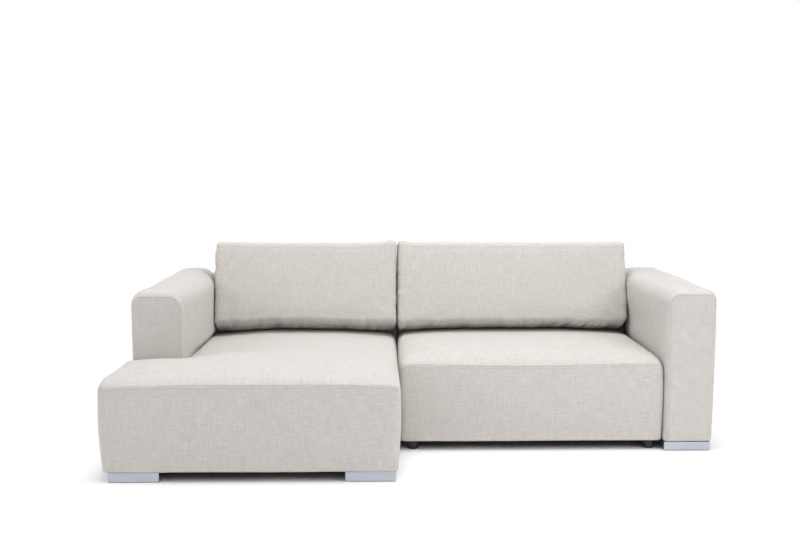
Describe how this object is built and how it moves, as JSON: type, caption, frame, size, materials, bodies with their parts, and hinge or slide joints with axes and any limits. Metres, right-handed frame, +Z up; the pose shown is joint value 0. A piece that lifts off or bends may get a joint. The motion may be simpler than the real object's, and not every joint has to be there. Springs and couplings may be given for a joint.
{
  "type": "corner sofa",
  "caption": "Fabric corner sofa with a left chaise that wraps in front of its arm, box arms, loose back cushions and low polished block feet",
  "frame": {"origin": "centre of the bounding box's footprint, on the floor", "axes": "+X to the right seen from the front, +Y from the front of the chaise to the backs, +Z up"},
  "size_m": [2.36, 1.39, 0.7973],
  "materials": {
    "frame_timber": "matte",
    "upholstery_fabric": "matte",
    "foam_filling": "matte",
    "elastic_strap": "matte",
    "dust_sheet_fabric": "matte",
    "foot_metal": "polished",
    "glide_felt": "matte",
    "foot_plastic": "satin",
    "plate_steel": "satin"
  },
  "bodies": {
    "sofa": {"chaise_arm_rail": "frame_timber", "chaise_cover": "upholstery_fabric", "chaise_cross_rail": "frame_timber", "chaise_dust_sheet": "dust_sheet_fabric", "chaise_foam": "foam_filling", "chaise_foot_blocks": "frame_timber", "chaise_front_left_foot": "foot_metal", "chaise_front_rail": "frame_timber", "chaise_front_right_foot": "foot_metal", "chaise_left_rail": "frame_timber", "chaise_rear_rail": "frame_timber", "chaise_right_rail": "frame_timber", "chaise_straps": "elastic_strap", "glide_pads": "glide_felt", "joining_plates": "plate_steel", "left_arm_boards": "frame_timber", "left_arm_cover": "upholstery_fabric", "left_arm_end_panels": "frame_timber", "left_arm_foam": "foam_filling", "left_arm_inner_panel": "frame_timber", "left_arm_outer_panel": "frame_timber", "left_arm_rear_foot": "foot_metal", "left_back_cover": "upholstery_fabric", "left_back_foam": "foam_filling", "left_back_low_rail": "frame_timber", "left_back_ribs": "frame_timber", "left_back_straps": "elastic_strap", "left_back_top_rail": "frame_timber", "right_arm_boards": "frame_timber", "right_arm_cover": "upholstery_fabric", "right_arm_end_panels": "frame_timber", "right_arm_foam": "foam_filling", "right_arm_front_foot": "foot_metal", "right_arm_inner_panel": "frame_timber", "right_arm_outer_panel": "frame_timber", "right_arm_rear_foot": "foot_metal", "right_back_cover": "upholstery_fabric", "right_back_foam": "foam_filling", "right_back_low_rail": "frame_timber", "right_back_ribs": "frame_timber", "right_back_straps": "elastic_strap", "right_back_top_rail": "frame_timber", "round_feet": "foot_plastic", "seat_cover": "upholstery_fabric", "seat_dust_sheet": "dust_sheet_fabric", "seat_foam": "foam_filling", "seat_foot_blocks": "frame_timber", "seat_front_rail": "frame_timber", "seat_left_rail": "frame_timber", "seat_rear_rail": "frame_timber", "seat_right_rail": "frame_timber", "seat_straps": "elastic_strap", "seat_stretcher": "frame_timber"},
    "left_back_cushion": {"left_cushion_cover": "upholstery_fabric", "left_cushion_filling": "foam_filling"},
    "right_back_cushion": {"right_cushion_cover": "upholstery_fabric", "right_cushion_filling": "foam_filling"}
  },
  "joints": [
    {"name": "left_back_cushion_lift", "type": "slide", "parent": "sofa", "child": "left_back_cushion", "axis": [0, 0, 1], "range_m": [0, 0.4]},
    {"name": "right_back_cushion_lift", "type": "slide", "parent": "sofa", "child": "right_back_cushion", "axis": [0, 0, 1], "range_m": [0, 0.4]}
  ]
}
